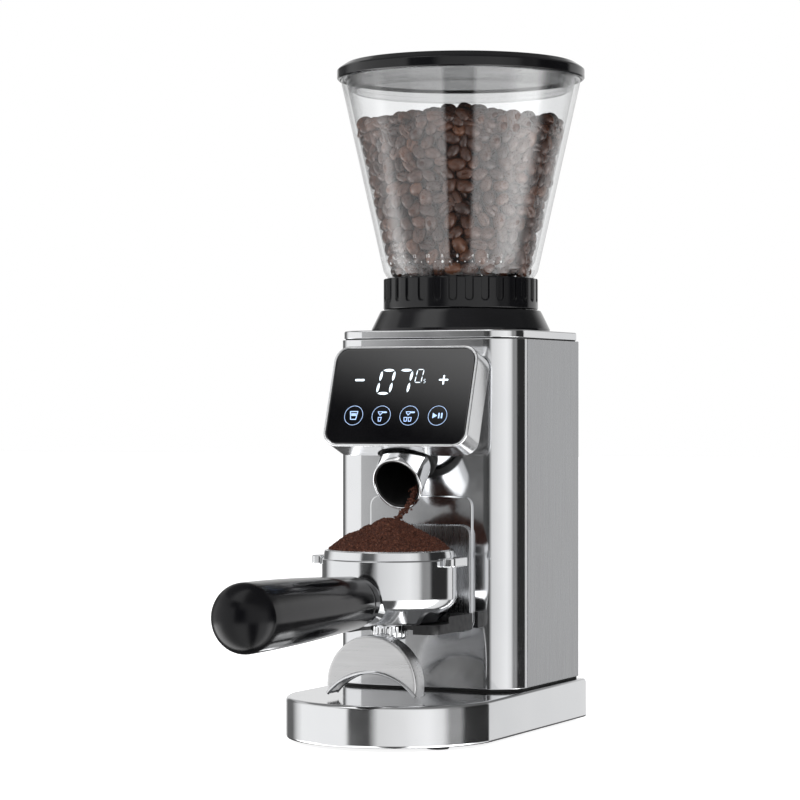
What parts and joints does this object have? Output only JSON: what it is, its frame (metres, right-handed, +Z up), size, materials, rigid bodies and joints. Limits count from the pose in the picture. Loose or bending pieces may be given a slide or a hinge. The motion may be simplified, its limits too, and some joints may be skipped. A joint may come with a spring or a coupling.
{
  "type": "burr coffee grinder",
  "caption": "Electric burr coffee grinder with a clear bean hopper, tilted touch display, slanted chute and a fork that holds a portafilter.",
  "frame": {"origin": "on the table under the centre of the whole object's box, portafilter handle included", "axes": "+Z up, -Y towards the portafilter handle and the display, +X to the right seen from the front"},
  "size_m": [0.1438, 0.3499, 0.383],
  "materials": {
    "polished_steel": "polished stainless steel",
    "brushed_steel": "satin brushed stainless steel",
    "housing_metal": "satin metal with a bright edge",
    "basket_steel": "drawn stainless steel",
    "tool_steel": "ground tool steel",
    "zinc_screws": "zinc plated",
    "frame_steel": "zinc coated sheet",
    "cast_alloy": "as cast",
    "gear_brass": "machined",
    "copper_rotor": "enamelled copper and steel",
    "gear_nylon": "moulded nylon",
    "gloss_black": "gloss moulded",
    "matte_black": "fine texture",
    "black_chrome": "dark chrome",
    "black_rubber": "matt rubber",
    "display_glass": "black printed touch glass",
    "circuit_board": "solder mask",
    "clear_plastic": "clear moulded plastic",
    "silicone_seal": "translucent silicone",
    "roasted_beans": "roasted coffee beans, slightly oily",
    "ground_coffee": "fine ground coffee"
  },
  "bodies": {
    "housing": {"base_shell": "polished_steel", "base_plate": "matte_black", "rubber_feet": "black_rubber", "base_screws": "zinc_screws", "plinth_gasket": "black_rubber", "chassis_frame": "frame_steel", "front_shell": "polished_steel", "rear_cover": "brushed_steel", "rear_screws": "zinc_screws", "cord_gland": "black_rubber", "top_gasket": "black_rubber", "top_plate": "polished_steel", "hopper_collar": "gloss_black", "display_housing": "housing_metal", "display_bracket": "matte_black", "display_glass": "display_glass", "display_board": "circuit_board", "display_screws": "zinc_screws", "chute_tube": "polished_steel", "chute_liner": "matte_black", "chute_collar": "black_rubber", "outlet_duct": "matte_black", "dock_plate": "polished_steel", "cradle_studs": "polished_steel", "grind_chamber": "cast_alloy", "shaft_bearings": "tool_steel", "motor_can": "frame_steel", "motor_end_cap": "frame_steel", "motor_magnets": "frame_steel", "gearbox_case": "cast_alloy", "gearbox_cover": "cast_alloy", "idler_axle": "tool_steel", "control_board": "circuit_board", "power_board": "circuit_board"},
    "rotor": {"motor_rotor": "copper_rotor", "motor_pinion": "gear_brass", "cooling_fan": "gear_nylon"},
    "idler": {"idler_gear": "gear_nylon"},
    "burr_shaft": {"drive_shaft": "tool_steel", "output_gear": "gear_brass", "impeller": "gear_nylon", "cone_burr": "tool_steel", "burr_bolt": "zinc_screws"},
    "setting_ring": {"adjust_ring": "gloss_black"},
    "burr_carrier": {"burr_carrier": "gear_brass", "burr_ring": "tool_steel"},
    "hopper": {"hopper": "clear_plastic", "hopper_neck": "matte_black", "coffee_beans": "roasted_beans"},
    "lid": {"lid": "gloss_black", "lid_seal": "silicone_seal"},
    "cradle": {"cradle_plate": "polished_steel", "cradle_fork": "matte_black"},
    "portafilter": {"portafilter_bowl": "polished_steel", "filter_basket": "basket_steel", "ground_coffee": "ground_coffee", "handle_ferrule": "black_chrome", "handle_grip": "gloss_black", "double_spout": "polished_steel"}
  },
  "joints": [
    {"name": "motor_spin", "type": "hinge", "parent": "housing", "child": "rotor", "pos_m": [0, 0.10305, 0.08], "axis": [0, 0, 1], "continuous": true},
    {"name": "idler_spin", "type": "hinge", "parent": "housing", "child": "idler", "pos_m": [0.0256, 0.10305, 0.128], "axis": [0, 0, 1], "continuous": true},
    {"name": "burr_spin", "type": "hinge", "parent": "housing", "child": "burr_shaft", "pos_m": [0, 0.10305, 0.18], "axis": [0, 0, 1], "continuous": true},
    {"name": "grind_setting", "type": "hinge", "parent": "housing", "child": "setting_ring", "pos_m": [0, 0.10305, 0.25], "axis": [0, 0, 1], "range_deg": [-53.6, 203.7]},
    {"name": "burr_feed", "type": "slide", "parent": "setting_ring", "child": "burr_carrier", "axis": [0, 0, 1], "range_m": [-0.00024, 0.00086]},
    {"name": "hopper_lift", "type": "slide", "parent": "setting_ring", "child": "hopper", "axis": [0, 0, 1], "range_m": [0, 0.06]},
    {"name": "lid_lift", "type": "slide", "parent": "hopper", "child": "lid", "axis": [0, 0, 1], "range_m": [0, 0.05]},
    {"name": "cradle_height", "type": "slide", "parent": "housing", "child": "cradle", "axis": [0, 0, 1], "range_m": [0, 0.004]},
    {"name": "portafilter_slide", "type": "slide", "parent": "cradle", "child": "portafilter", "axis": [0, -1, 0], "range_m": [0, 0.12]}
  ],
  "couplings": [
    {"joint": "idler_spin", "follows": "motor_spin", "ratio": -0.33333},
    {"joint": "burr_spin", "follows": "motor_spin", "ratio": 0.11111},
    {"joint": "burr_feed", "follows": "grind_setting", "m_per_rad": 0.00023873}
  ]
}
